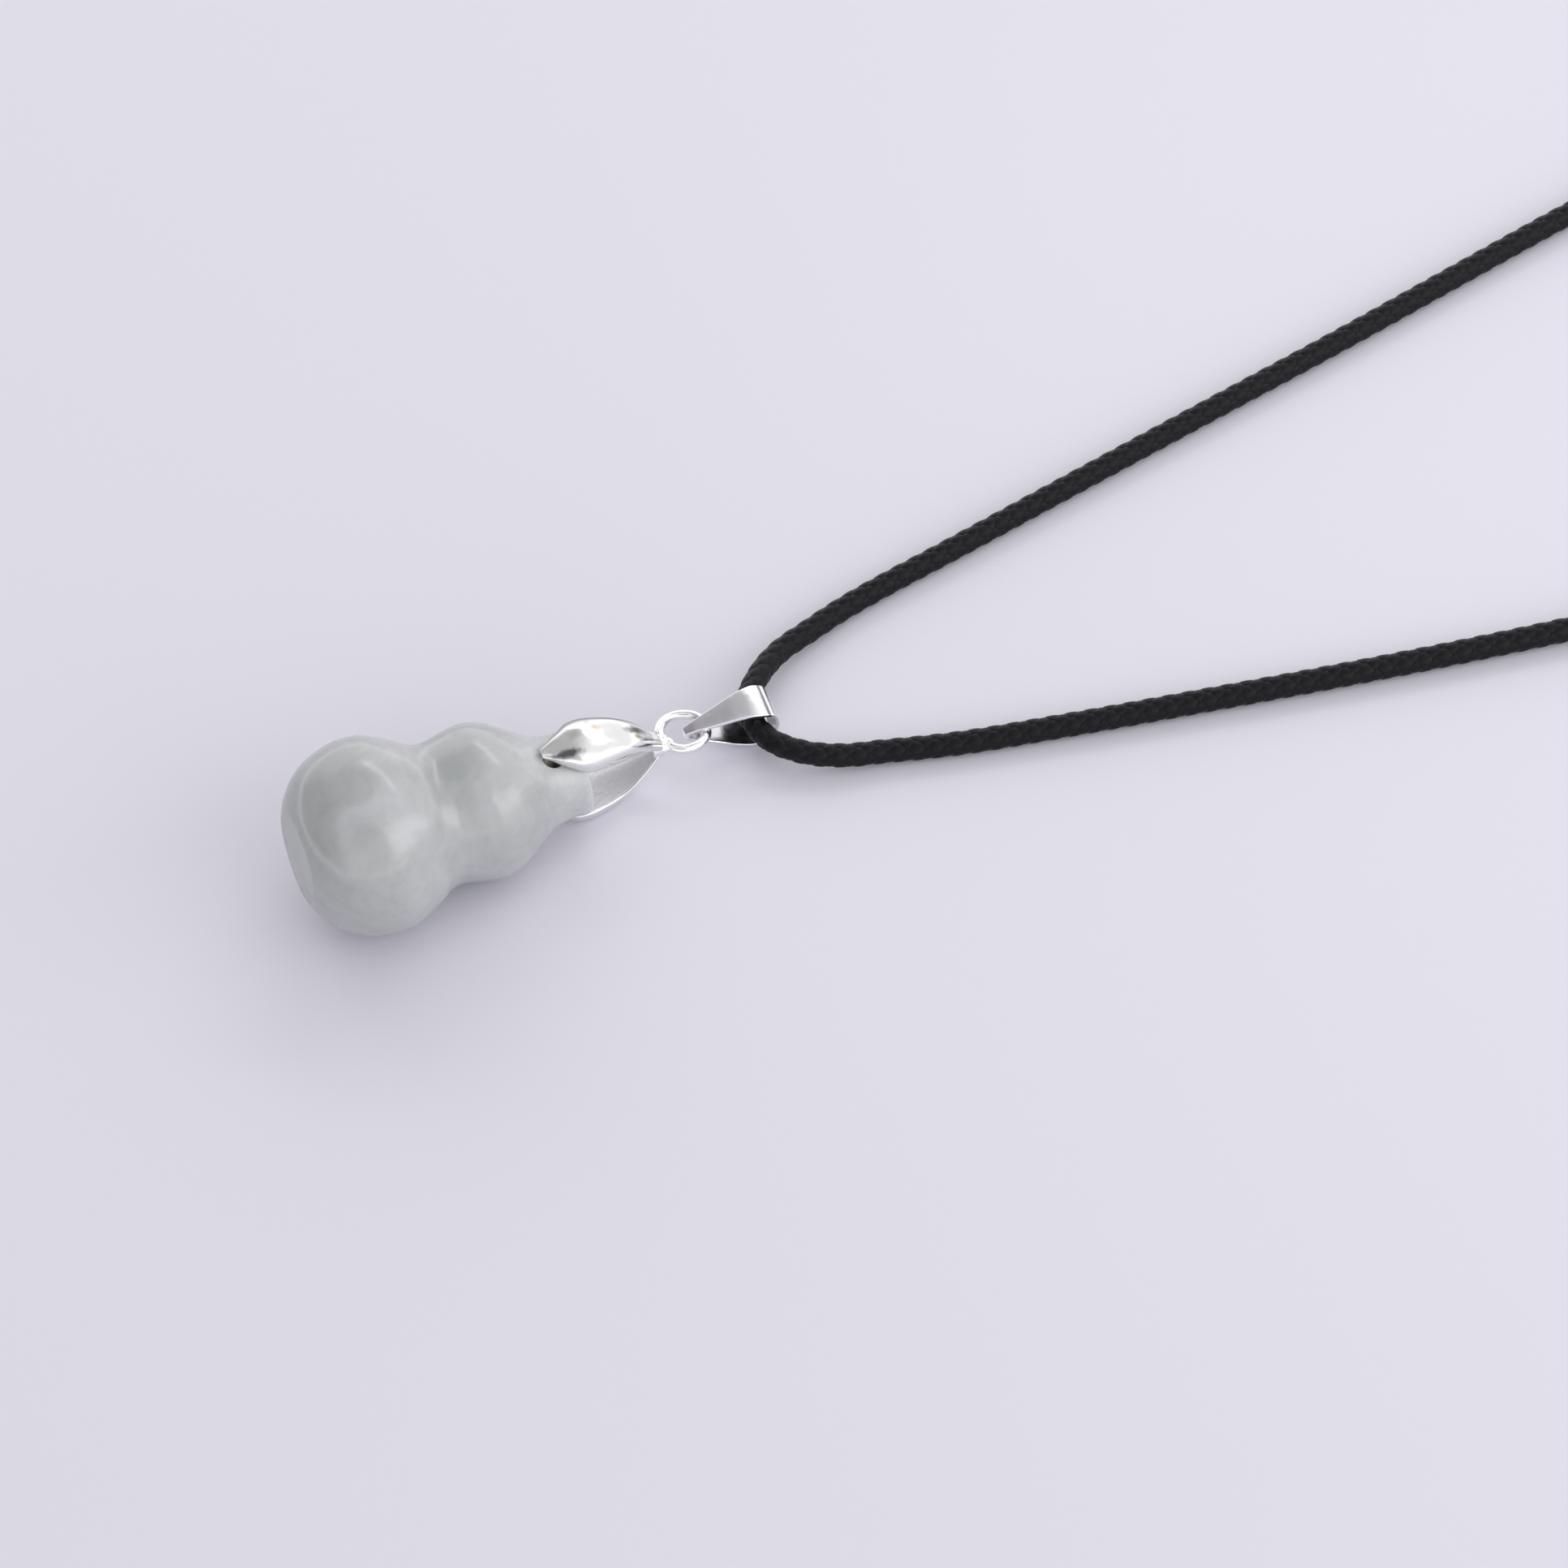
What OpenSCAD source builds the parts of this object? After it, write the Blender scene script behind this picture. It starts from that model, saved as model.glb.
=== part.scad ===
// Jade gourd pendant on a braided cord necklace, lying on a flat surface.
// Origin: on the surface, under the middle of the pendant. +X: from the gourd's base towards the cord.
// A pendant place is given as [along, side, rise]: along the gourd's axis from its base, to +Y, and up
// from the axis.

/* [Gourd] */
// Length of the gourd from its flat base to the end of its stem
gourd_l = 23.8; // [22.8:0.2:25]
// Radius of the flat base
base_r = 3.9; // [3.5:0.1:4.1]
// Radius of the big lobe
lobe_r = 8.05; // [7.6:0.05:8.3]
// Radius of the small lobe
top_lobe_r = 6.4; // [6.1:0.05:6.6]
// Radius of the waist between the lobes
waist_r = 5.85; // [5.5:0.05:6]
// Radius of the stem
stem_r = 3.45; // [3.2:0.05:3.5]
// Radius of the hole that is drilled across the stem
hole_r = 0.8; // [0.7:0.05:0.9]
// Radius of the hole's countersink
sink_r = 1.05; // [0.9:0.05:1.1]

/* [Pinch bail] */
// Thickness of the silver sheet of the leaves
leaf_t = 0.3; // [0.25:0.05:0.4]
// Radius of the pegs that grip in the hole
peg_r = 0.45; // [0.35:0.05:0.5]
// Outer diameter of the soldered ring
ring_d = 4.6; // [4.4:0.1:4.8]
// Thickness of the ring's wire
ring_wire = 0.84; // [0.7:0.02:0.9]
// Turn of the leaves about the pendant's axis, towards -Y
leaf_roll = 13.6; // [0:0.2:16]
// Turn of the ring about the pendant's axis, towards -Y
ring_roll = 5; // [2:1:10]

/* [Cord bail] */
// Thickness of the folded strip
strip_t = 0.35; // [0.25:0.05:0.4]
// Width of the strip where it goes round the cord
strip_w = 3.1; // [2.6:0.1:3.2]
// Width of the strip at its two ends
strip_tip_w = 0.8; // [0.6:0.1:1.2]

/* [Cord] */
// Diameter of the braided cord
cord_d = 2; // [1.6:0.1:2.1]
// Length of the barrel clasp
clasp_l = 12; // [12:0.5:13]
// Diameter of the barrel clasp
clasp_d = 4; // [3.6:0.1:4]

/* [Hidden] */

jade = [0.74, 0.80, 0.78];
silver = [0.86, 0.86, 0.88];
black = [0.07, 0.07, 0.08];

// Gourd, from its base: distance along the axis and radius
stem_edge = 0.25;
stem_end_r = stem_r + 0.05;
lobe_at = 6.1;
top_lobe_at = 15.8;
gourd_rows = [
    // along, radius
    [0, base_r], [0.3, 4.6], [0.8, 5.38], [1.5, 6.2], [2.4, 6.92], [3.4, 7.45], [4.6, 7.84],
    [lobe_at, lobe_r], [7.3, 7.92], [8.6, 7.42], [10, 6.67], [11, 6.05], [11.8, waist_r], [12.7, 5.94],
    [14, 6.23], [top_lobe_at, top_lobe_r], [17, 6.08], [18.2, 5.4], [19.4, 4.59], [20.4, 3.98],
    [21.4, 3.62], [22.4, stem_r + 0.02], [gourd_l - stem_edge, stem_end_r],
];
// Hole across the stem: its place along the axis, and where its two countersinks start and end
hole_at = 21.15;
sink_from = 2.9;
sink_to = 4.3;
// Both lobes touch the surface, so the axis dips towards the stem
dip = asin((lobe_r - top_lobe_r) / (top_lobe_at - lobe_at));

// Upper leaf, from the tip to the neck; the lower one is its mirror image
leaf_rows = [
    // along, half width, height of the edge, height of the crown
    [20.4, 0.4, 4.15, 4.5], [20.9, 0.72, 4, 4.55], [21.6, 1.2, 3.8, 4.65], [22.5, 1.75, 3.5, 4.8],
    [23.2, 2.2, 3.3, 4.88], [24.2, 2.35, 3.15, 4.88], [25.5, 2.15, 3.15, 4.65], [27, 1.8, 3, 4.15],
    [28.4, 1.45, 2.3, 3.35], [29.6, 1.1, 1.25, 2.3], [30.4, 0.8, 0.5, 1.45], [30.9, 0.65, 0.1, 0.9],
];
// Power that squares the leaf's section: 1 is an ellipse
crown_square = 0.7;
// Peg from near the axis out into the leaf's tip, and the solder that joins the leaves to the ring
peg_in = 1.2;
peg_out = 4.3;
neck_r = 0.85;
neck_from = 30;
neck_to = 31;
solder_r = 0.6;
solder_to = 31.7;
// Middle of the ring, as a pendant place
ring_place = [33.1, 0.57, 0.16];

// Cord bail, in its own upright plane: distance from the tips and half height of the strip's middle
strip_rows = [
    // from the tips, half height
    [0, 0.2], [0.8, 0.56], [1.7, 0.84], [3, 1.25], [4.3, 1.66], [5.3, 1.82], [6.3, 1.68], [7.13, 1.12],
    [7.45, 0],
];
// Where the strip gets its full width, and how much deeper its lower leg is than the upper one
strip_full = 6;
strip_belly = 1.25;
// Middle between the strip's tips, its turn about +Z, and how it leans and dips
strip_place = [13.14, 0.36, 3.5];
strip_turn = -4;
strip_roll = 11.5;
strip_dip = 7.9;

// Route of the cord's middle, from one mouth of the clasp through the bail to the other mouth
clasp_mid = [169.4, -9, clasp_d / 2];
mouth_a = clasp_mid + [0, clasp_l / 2, 0];
mouth_b = clasp_mid - [0, clasp_l / 2, 0];
route = [
    mouth_a, [169.4, -1, 2], [170.7, 2.9, 1.65], [174.2, 5.3, 1.2], [179.4, 7.3, 1], [181.6, 10.8, 1],
    [181.1, 14.5, 1], [178.8, 17, 1], [175.3, 18, 1], [163, 18.2, 1], [150, 17.8, 1], [135, 17.4, 1],
    [119, 17, 1], [102.2, 15.8, 1], [91.6, 14.6, 1], [78.6, 13.1, 1], [65.4, 11.8, 1], [52.5, 10.5, 1],
    [39.8, 9.2, 1], [33.5, 8.6, 1], [30.2, 8.1, 1.05], [27.1, 7.3, 1.2], [23.6, 6.1, 1.55],
    [21, 4.1, 2.05], [19.2, 1.8, 2.4], [18.6, -0.6, 2.45], [19.1, -2.9, 2.25], [20.9, -5.1, 1.8],
    [23.6, -6.8, 1.35], [26.7, -8, 1.1], [31.3, -10, 1], [40.9, -13.5, 1], [50.9, -16.9, 1],
    [60.8, -20.2, 1], [70.9, -23.4, 1], [81.9, -26.6, 1], [95.2, -29.9, 1], [111.7, -32.8, 1],
    [128, -34.7, 1], [144, -35.8, 1], [160, -36.2, 1], [175.3, -36, 1], [178.8, -35, 1],
    [181.1, -32.5, 1], [181.6, -28.8, 1], [179.4, -25.3, 1], [174.2, -23.3, 1.2], [170.7, -20.9, 1.65],
    [169.4, -17, 2], mouth_b,
];

// A smooth curve through rows of numbers, with a few steps from each row to the next
function heading(p, i) =
    i == 0 ? (p[1] - p[0]) / norm(p[1] - p[0]) :
    i == len(p) - 1 ? (p[i] - p[i - 1]) / norm(p[i] - p[i - 1]) :
    let (a = norm(p[i] - p[i - 1]), b = norm(p[i + 1] - p[i]))
    ((p[i] - p[i - 1]) * b / a + (p[i + 1] - p[i]) * a / b) / (a + b);
function between(p, i, f) =
    let (l = norm(p[i + 1] - p[i]))
    p[i] * (2 * f ^ 3 - 3 * f ^ 2 + 1) + heading(p, i) * l * (f ^ 3 - 2 * f ^ 2 + f)
    + p[i + 1] * (3 * f ^ 2 - 2 * f ^ 3) + heading(p, i + 1) * l * (f ^ 3 - f ^ 2);
function curve(p, steps) =
    [for (i = [0:len(p) - 2], k = [0:steps - 1]) between(p, i, k / steps), p[len(p) - 1]];

// A closed body through rings of points. A ring goes out along one side and back along the other.
module skin(rings) {
    n = len(rings[0]);
    last = (len(rings) - 1) * n;
    sides = [for (r = [0:len(rings) - 2], i = [0:n - 1], half = [0, 1])
        let (a = r * n + i, b = r * n + (i + 1) % n)
        half == 0 ? [a, b, b + n] : [a, b + n, a + n]];
    caps = [for (i = [0:n / 2 - 2])
        let (q = [i, n - 1 - i, n - 2 - i, i + 1])
        each [q, [for (k = [3:-1:0]) q[k] + last]]];
    polyhedron([for (ring = rings) each ring], concat(sides, caps));
}

// Gourd from its base to its stem as [along, radius] points
gourd_profile = concat(
    [[0, 0]], curve(gourd_rows, 2), [[gourd_l, stem_end_r - stem_edge], [gourd_l, 0]]);
// Height of the gourd's axis over the middle of its base, where both lobes rest on the surface
axis_z = max([for (p = gourd_profile) p[0] * sin(dip) + p[1] * cos(dip)]);
// Base of the gourd on X: the middle of the pendant is then within half a millimetre of the origin
base_x = -19.6;

// Places its children at the gourd's base, with +Z along the pendant's axis and +X up
module on_axis() {
    translate([base_x, 0, axis_z]) rotate([0, 90 + dip, 0]) rotate([0, 0, 180]) children();
}

module jade_gourd() {
    color(jade) on_axis() difference() {
        rotate_extrude($fn = 72) polygon([for (p = gourd_profile) [p[1], p[0]]]);
        rotate([0, 0, leaf_roll]) translate([0, 0, hole_at]) rotate([0, 90, 0]) {
            cylinder(r = hole_r, h = 2 * sink_to, center = true, $fn = 32);
            for (side = [0, 180]) rotate([side, 0, 0]) translate([0, 0, sink_from])
                cylinder(r1 = hole_r, r2 = sink_r, h = sink_to - sink_from, $fn = 32);
        }
    }
}

// Section of a leaf as [rise, side] points over its outside and back along its inside
function leaf_section(row) =
    let (angles = [0:20:180], n = crown_square,
         arc = function (w, c) [for (a = angles)
             [row[2] + (c - row[2]) * sin(a) ^ n, w * sign(cos(a)) * abs(cos(a)) ^ n]],
         outer = arc(row[1], row[3]),
         inner = arc(row[1] - leaf_t, row[3] - leaf_t))
    [for (p = concat(outer, [for (i = [len(inner) - 1:-1:0]) inner[i]])) [p[0], p[1], row[0]]];

module leaf() {
    skin([for (row = curve(leaf_rows, 1)) leaf_section(row)]);
    translate([peg_in, 0, hole_at]) rotate([0, 90, 0]) cylinder(r = peg_r, h = peg_out - peg_in, $fn = 24);
}

module pinch_bail() {
    color(silver) on_axis() {
        rotate([0, 0, leaf_roll]) {
            leaf();
            rotate([0, 0, 180]) leaf();
            translate([0, 0, neck_from]) cylinder(r = neck_r, h = neck_to - neck_from, $fn = 24);
            translate([0, 0, neck_from]) cylinder(r = solder_r, h = solder_to - neck_from, $fn = 24);
        }
        translate([ring_place[2], -ring_place[1], ring_place[0]])
            rotate([0, 0, ring_roll]) rotate([0, 90, 0]) rotate_extrude($fn = 48)
            translate([(ring_d - ring_wire) / 2, 0]) circle(d = ring_wire, $fn = 16);
    }
}

module cord_bail() {
    upper = curve(strip_rows, 4);
    path = concat(upper, [for (i = [len(upper) - 2:-1:0]) [upper[i][0], -strip_belly * upper[i][1]]]);
    rings = [for (i = [0:len(path) - 1])
        let (d = path[min(i + 1, len(path) - 1)] - path[max(i - 1, 0)],
             side = [-d[1], d[0]] / norm(d) * strip_t / 2,
             w = strip_tip_w + (strip_w - strip_tip_w) * min(1, path[i][0] / strip_full),
             out = path[i] + side, in = path[i] - side)
        [[out[0], -w / 2, out[1]], [out[0], w / 2, out[1]], [in[0], w / 2, in[1]], [in[0], -w / 2, in[1]]]];
    color(silver) translate(strip_place)
        rotate([0, 0, strip_turn]) rotate([strip_roll, strip_dip, 0]) skin(rings);
}

module neck_cord() {
    path = curve(route, 2);
    n = len(path) - 1;
    rings = [for (i = [0:n])
        let (end = i == 0 || i == n,
             d = end ? heading(route, i == 0 ? 0 : len(route) - 1) : path[i + 1] - path[i - 1],
             side = cross(d, [0, 0, 1]) / norm(cross(d, [0, 0, 1])), up = cross(side, d) / norm(d))
        [for (a = [22.5:45:360]) path[i] + (side * cos(a) + up * sin(a)) * cord_d / 2]];
    color(black) skin(rings);
}

module clasp() {
    r = clasp_d / 2;
    bevel = 0.5;
    color(silver) translate(mouth_b) rotate([-90, 0, 0]) rotate_extrude($fn = 48)
        polygon([
            [0, 0], [r - bevel, 0], [r, bevel],
            [r, clasp_l - bevel], [r - bevel, clasp_l], [0, clasp_l],
        ]);
}

jade_gourd();
pinch_bail();
cord_bail();
neck_cord();
clasp();
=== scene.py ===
import math

import bmesh
import bpy
import numpy as np
from mathutils import Matrix, Vector


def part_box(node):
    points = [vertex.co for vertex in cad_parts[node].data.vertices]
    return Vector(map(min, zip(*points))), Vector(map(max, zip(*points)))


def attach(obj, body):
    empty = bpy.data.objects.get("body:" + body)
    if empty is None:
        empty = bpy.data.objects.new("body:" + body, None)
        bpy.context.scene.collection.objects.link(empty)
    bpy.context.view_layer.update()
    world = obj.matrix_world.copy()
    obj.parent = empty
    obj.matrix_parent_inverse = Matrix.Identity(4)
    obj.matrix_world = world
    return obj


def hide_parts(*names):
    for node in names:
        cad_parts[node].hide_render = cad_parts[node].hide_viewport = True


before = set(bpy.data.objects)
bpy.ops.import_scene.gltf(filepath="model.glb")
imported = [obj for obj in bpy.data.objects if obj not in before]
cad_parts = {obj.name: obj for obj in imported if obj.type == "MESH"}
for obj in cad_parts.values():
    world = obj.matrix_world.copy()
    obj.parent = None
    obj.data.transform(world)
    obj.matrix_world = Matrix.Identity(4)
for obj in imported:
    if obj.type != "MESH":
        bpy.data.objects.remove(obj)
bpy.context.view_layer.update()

# One millimetre, for the sizes below that are said to be in millimetres. The others are in metres
MM = 0.001
scene = bpy.context.scene
root = "root"


# Camera at the photograph's angle. The heading is clockwise from +Y, seen from above, and the roll is
# the camera's turn about its own view line, clockwise as the photographer sees it
VIEW_TARGET = (0.0186, -0.00587, 0.0)
VIEW_DISTANCE = 0.4
VIEW_HEADING = math.radians(12.7)
VIEW_DOWN = math.radians(48)
VIEW_ROLL = math.radians(14.7)
LENS_MM = 114.04
SENSOR_MM = 36
CLIP_NEAR = 0.01
CLIP_FAR = 20


def direction(heading, elevation):
    """Unit vector from the object, for a heading clockwise from +Y and an elevation over the floor."""
    flat = math.cos(elevation)
    return Vector((math.sin(heading) * flat, math.cos(heading) * flat, math.sin(elevation)))


def make_camera():
    data = bpy.data.cameras.new("camera")
    data.lens = LENS_MM
    data.sensor_width = SENSOR_MM
    data.clip_start = CLIP_NEAR
    data.clip_end = CLIP_FAR
    camera = bpy.data.objects.new("camera", data)
    back = direction(VIEW_HEADING + math.pi, VIEW_DOWN)
    camera.location = Vector(VIEW_TARGET) + back * VIEW_DISTANCE
    level = Matrix.Rotation(-VIEW_HEADING, 4, "Z") @ Matrix.Rotation(math.pi / 2 - VIEW_DOWN, 4, "X")
    camera.rotation_euler = (level @ Matrix.Rotation(-VIEW_ROLL, 4, "Z")).to_euler()
    scene.collection.objects.link(camera)
    scene.camera = camera


make_camera()


# Smooth curves and meshes
def unit(vectors):
    """The same directions, each with a length of 1."""
    return vectors / np.linalg.norm(vectors, axis=1)[:, None]


def angles(count):
    """So many angles, evenly round a circle."""
    return 2 * math.pi * np.arange(count) / count


def headings(points):
    """The direction at each point: inside the row, of the parabola through it and its neighbours."""
    steps = np.diff(points, axis=0)
    long = np.linalg.norm(steps, axis=1)[:, None]
    inner = (steps[:-1] * long[1:] / long[:-1] + steps[1:] * long[:-1] / long[1:]) / (long[:-1] + long[1:])
    return np.vstack([steps[:1] / long[:1], inner, steps[-1:] / long[-1:]])


def curve(points, steps):
    """The part's own smooth curve through rows of numbers, in so many steps from row to row."""
    p = np.array(points, float)
    h = headings(p)
    f = np.linspace(0, 1, steps, endpoint=False)[None, :, None]
    a, b = p[:-1, None], p[1:, None]
    long = np.linalg.norm(p[1:] - p[:-1], axis=1)[:, None, None]
    mid = (a * (2 * f**3 - 3 * f**2 + 1) + h[:-1, None] * long * (f**3 - 2 * f**2 + f)
           + b * (3 * f**2 - 2 * f**3) + h[1:, None] * long * (f**3 - f**2))
    return np.vstack([mid.reshape(-1, p.shape[1]), p[-1:]])


def evenly(points, step):
    """The line again with points this far apart, and how far along it each one is."""
    along = np.concatenate([[0], np.cumsum(np.linalg.norm(np.diff(points, axis=0), axis=1))])
    at = np.linspace(0, along[-1], round(along[-1] / step) + 1)
    return np.stack([np.interp(at, along, points[:, k]) for k in range(points.shape[1])], axis=1), at


def add_mesh(name, points, faces, material, smooth_below=180):
    """A new piece. Edges sharper than the given angle, in degrees, stay sharp."""
    mesh = bpy.data.meshes.new(name)
    mesh.from_pydata([tuple(p) for p in points], [], [tuple(int(i) for i in f) for f in faces])
    mesh.validate()
    piece = bpy.data.objects.new(name, mesh)
    scene.collection.objects.link(piece)
    mesh.materials.append(material)
    finish_mesh(mesh, smooth_below)
    return piece


def finish_mesh(mesh, smooth_below):
    """Turns the faces outwards and shades them smooth, but for edges sharper than the angle, in degrees."""
    bm = bmesh.new()
    bm.from_mesh(mesh)
    bmesh.ops.recalc_face_normals(bm, faces=bm.faces)
    for face in bm.faces:
        face.smooth = True
    for edge in bm.edges:
        if len(edge.link_faces) == 2:
            edge.smooth = edge.calc_face_angle(0) < math.radians(smooth_below)
    bm.to_mesh(mesh)
    bm.free()


def mark(piece, name, places):
    """Gives each point of the piece a place, which its material reads by this name."""
    marks = piece.data.attributes.new(name, "FLOAT_VECTOR", "POINT")
    marks.data.foreach_set("vector", places.astype(np.float32).ravel())


def rings_to_faces(rings, count, closed=True, offset=0):
    """Quads between rings of points that follow each other, with both ends capped if it is closed."""
    r = np.arange(rings - 1)[:, None] * count
    i = np.arange(count)[None, :]
    j = (i + 1) % count
    quads = list(np.stack([r + i, r + j, r + count + j, r + count + i], axis=2).reshape(-1, 4) + offset)
    if not closed:
        return quads
    last = offset + (rings - 1) * count
    return quads + [range(offset + count - 1, offset - 1, -1), range(last, last + count)]


def lathe(name, profile, sides, matrix, material, smooth_below=180):
    """A turned piece. Each row of the profile is a place along the axis and a radius, in metres. The first
    and the last row lie on the axis."""
    turn = angles(sides)
    inner = np.array(profile, float)[1:-1]
    ring = np.stack([inner[:, 1, None] * np.cos(turn), inner[:, 1, None] * np.sin(turn),
                     np.repeat(inner[:, :1], sides, axis=1)], axis=2).reshape(-1, 3)
    first, last = len(ring), len(ring) + 1
    ends = [[0, 0, profile[0][0]], [0, 0, profile[-1][0]]]
    faces = rings_to_faces(len(inner), sides, closed=False)
    top = (len(inner) - 1) * sides
    for i in range(sides):
        j = (i + 1) % sides
        faces += [[first, j, i], [last, top + i, top + j]]
    piece = add_mesh(name, np.vstack([ring, ends]), faces, material, smooth_below)
    piece.data.transform(matrix)
    return piece


def apply_modifiers(piece):
    bpy.context.view_layer.update()
    made = bpy.data.meshes.new_from_object(piece.evaluated_get(bpy.context.evaluated_depsgraph_get()))
    piece.modifiers.clear()
    piece.data = made


def cut(piece, cutter):
    """Takes the cutter's solid out of the piece, and removes the cutter."""
    modifier = piece.modifiers.new("cut", "BOOLEAN")
    modifier.object = cutter
    modifier.operation = "DIFFERENCE"
    modifier.solver = "EXACT"
    modifier.material_mode = "TRANSFER"
    apply_modifiers(piece)
    bpy.data.objects.remove(cutter)


def join(pieces, name):
    """Makes one mesh of several, keeping each one's materials."""
    bpy.ops.object.select_all(action="DESELECT")
    for piece in pieces:
        piece.select_set(True)
    bpy.context.view_layer.objects.active = pieces[0]
    bpy.ops.object.join()
    pieces[0].name = name
    return pieces[0]


# Sockets of a Mix node that mixes colours
MIX_FACTOR = 0
MIX_A = 6
MIX_B = 7
MIX_RESULT = 2
# Spots: how ragged their edge is and at what scale, the share of their size up to which they are full, and
# their size on the third axis, which is past any piece
SPOT_RAGGED = 0.5
SPOT_NOISE = 3.0
SPOT_FULL = 0.45
SPOT_DEEP = 1000


class Nodes:
    """The nodes of a material or of the world, made by short calls."""

    def __init__(self, owner, shader="Principled BSDF"):
        self.owner = owner
        owner.use_nodes = True
        self.tree = owner.node_tree
        self.shader = self.tree.nodes[shader]

    def add(self, kind, **values):
        """A new node, with values for its own settings or for its inputs."""
        node = self.tree.nodes.new(kind)
        for key, value in values.items():
            if hasattr(node, key):
                setattr(node, key, value)
            else:
                node.inputs[key.replace("_", " ")].default_value = value
        return node

    def link(self, source, target):
        self.tree.links.new(source, target)

    def feed(self, value, target):
        """Links another node's output to the socket, or sets a plain value on it."""
        if hasattr(value, "links"):
            self.link(value, target)
        else:
            target.default_value = value

    def set(self, **values):
        """Sets the shader's own sockets, or links outputs to them."""
        for key, value in values.items():
            self.feed(value, self.shader.inputs[key.replace("_", " ")])

    def scaled(self, vector, scale):
        mapping = self.add("ShaderNodeMapping", Scale=scale)
        self.link(vector, mapping.inputs["Vector"])
        return mapping.outputs["Vector"]

    def place(self, scale=(1, 1, 1)):
        """Object coordinates in millimetres, stretched by the scale."""
        return self.scaled(self.add("ShaderNodeTexCoord").outputs["Object"], [s / MM for s in scale])

    def marked(self, name):
        """The places that a piece's points were marked with."""
        return self.add("ShaderNodeAttribute", attribute_name=name).outputs["Vector"]

    def part(self, vector, axis):
        """One of the vector's three numbers."""
        node = self.add("ShaderNodeSeparateXYZ")
        self.link(vector, node.inputs[0])
        return node.outputs[axis]

    def noise(self, vector, scale, detail=3.0, roughness=0.5, distortion=0.0):
        node = self.add("ShaderNodeTexNoise", Scale=scale, Detail=detail, Roughness=roughness,
                        Distortion=distortion)
        self.link(vector, node.inputs["Vector"])
        return node.outputs["Fac"]

    def ramp(self, value, stops):
        """Colours or greys by value. Each stop is a place from 0 to 1 and a colour or a grey."""
        node = self.add("ShaderNodeValToRGB")
        elements = node.color_ramp.elements
        for k, (at, colour) in enumerate(stops):
            stop = elements[k] if k < len(elements) else elements.new(at)
            stop.position = at
            stop.color = (*colour, 1) if hasattr(colour, "__len__") else (colour, colour, colour, 1)
        self.link(value, node.inputs["Fac"])
        return node.outputs["Color"]

    def mix(self, factor, a, b, blend="MIX"):
        node = self.add("ShaderNodeMix", data_type="RGBA", blend_type=blend)
        for value, at in ((factor, MIX_FACTOR), (a, MIX_A), (b, MIX_B)):
            self.feed(value, node.inputs[at])
        return node.outputs[MIX_RESULT]

    def math(self, operation, a, b):
        node = self.add("ShaderNodeMath", operation=operation)
        for k, value in enumerate((a, b)):
            self.feed(value, node.inputs[k])
        return node.outputs[0]

    def soft_step(self, value, start, full):
        """From 0 at the start to 1 where it is full, with soft ends."""
        node = self.add("ShaderNodeMapRange", interpolation_type="SMOOTHSTEP",
                        From_Min=start, From_Max=full)
        self.link(value, node.inputs["Value"])
        return node.outputs["Result"]

    def spot(self, vector, middle, size, turn):
        """1 in the middle of an oval and 0 outside it, with a ragged edge. The turn is in degrees."""
        mapping = self.add("ShaderNodeMapping", vector_type="TEXTURE", Location=(*middle, 0),
                           Rotation=(0, 0, math.radians(turn)), Scale=(*size, SPOT_DEEP))
        self.link(vector, mapping.inputs["Vector"])
        far = self.add("ShaderNodeVectorMath", operation="LENGTH")
        self.link(mapping.outputs["Vector"], far.inputs[0])
        rough = self.math("MULTIPLY", self.noise(vector, SPOT_NOISE), SPOT_RAGGED)
        edge = self.math("ADD", far.outputs["Value"], rough)
        return self.soft_step(edge, 1 + SPOT_RAGGED / 2, SPOT_FULL)

    def stains_and_painted_light(self, colour, vector, spots):
        """The colour with spots of other colours over it, which serve as stains and as painted light and
        shade, from rows of middle, size, turn, depth, colour.
        """
        for middle, size, turn, depth, spot_colour in spots:
            mask = self.math("MULTIPLY", self.spot(vector, middle, size, turn), depth)
            colour = self.mix(mask, colour, (*spot_colour, 1))
        return colour

    def bump(self, height, distance_mm, strength):
        node = self.add("ShaderNodeBump", Distance=distance_mm * MM, Strength=strength)
        self.link(height, node.inputs["Height"])
        self.set(Normal=node.outputs["Normal"])


def new_material(name):
    return Nodes(bpy.data.materials.new(name))


# Jade: its small clouds, from dark to light, its dark patches and its fine grain, by the value of a noise
JADE_BODY = [(0.3, (0.375, 0.384, 0.383)), (0.5, (0.42, 0.427, 0.431)), (0.7, (0.46, 0.468, 0.485))]
JADE_PATCH = (0.33, 0.35, 0.342, 1)
JADE_PATCHES = [(0.36, 0.3), (0.5, 0.0)]
JADE_GRAIN = [(0.3, 0.98), (0.7, 1.015)]
# Painted shade and light in the jade, in millimetres on X and Y: painted shade over the waist, painted light
# in the stem
JADE_PAINTED_SHADE_AND_LIGHT = [
    # middle, size, turn in degrees, depth, colour
    ((-6.4, -1.5), (3.4, 3.6), 0, 0.5, (0.335, 0.352, 0.348)),
    ((2.6, 0), (4.2, 6), 0, 0.75, (0.54, 0.55, 0.56)),
]
# The wall of the hole: partly its own pale ground tone and partly painted light against the hole's shade
DRILLED_TONE_AND_PAINTED_LIGHT = (0.80, 0.81, 0.72, 1)


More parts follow.
